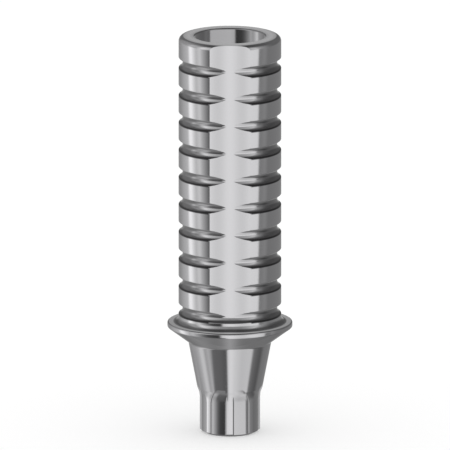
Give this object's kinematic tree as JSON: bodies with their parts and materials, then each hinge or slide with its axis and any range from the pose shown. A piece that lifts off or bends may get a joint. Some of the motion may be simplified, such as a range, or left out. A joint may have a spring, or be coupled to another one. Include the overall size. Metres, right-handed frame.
{
  "type": "dental abutment",
  "caption": "Slim ringed titanium abutment with two milled flats, a flange, a short locking taper, a keyed end and a stepped screw channel.",
  "frame": {"origin": "centre of the small end's face, on the screw channel's axis", "axes": "+Z along the screw channel, from the small end to the open mouth; one milled flat faces -Y and the other +Y"},
  "size_m": [0.0044, 0.0044, 0.0145],
  "materials": {
    "titanium": "fine-turned titanium, polished to a soft mirror"
  },
  "bodies": {
    "root": {"abutment_body": "titanium"}
  },
  "joints": []
}
